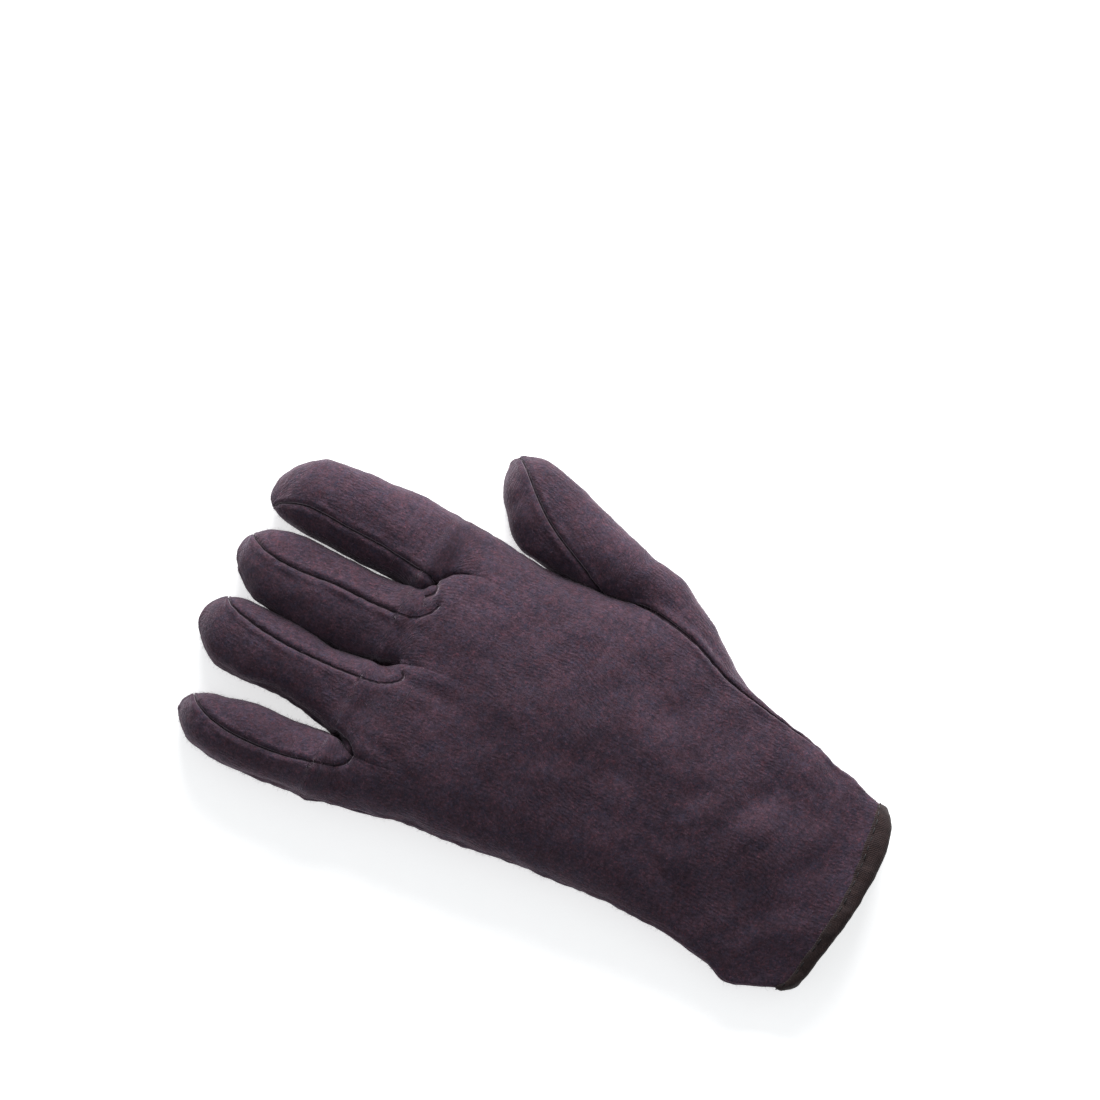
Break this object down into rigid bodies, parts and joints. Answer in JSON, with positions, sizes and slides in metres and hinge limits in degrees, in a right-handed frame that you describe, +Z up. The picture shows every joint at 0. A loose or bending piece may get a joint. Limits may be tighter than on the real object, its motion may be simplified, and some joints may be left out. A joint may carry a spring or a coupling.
{
  "type": "cotton work glove",
  "caption": "Left-hand slip-on work glove of cotton jersey, cut and sewn, with a bound cuff. It lies palm down; the hollow is open at the cuff.",
  "frame": {"origin": "middle of the glove's outline, on the ground that it lies on", "axes": "+Y towards the fingertips, +X towards the thumb, +Z up out of the back of the hand"},
  "size_m": [0.1492, 0.246, 0.0299],
  "materials": {
    "jersey": "brushed knitted cotton, matte, heathered dark aubergine brown",
    "binding_tape": "woven tape, matte, dark khaki brown"
  },
  "bodies": {
    "root": {"back_panel": "jersey", "palm_panel": "jersey", "ring_finger_front": "jersey", "middle_finger_front": "jersey", "thumb_panel": "jersey", "cuff_binding": "binding_tape"}
  },
  "joints": []
}
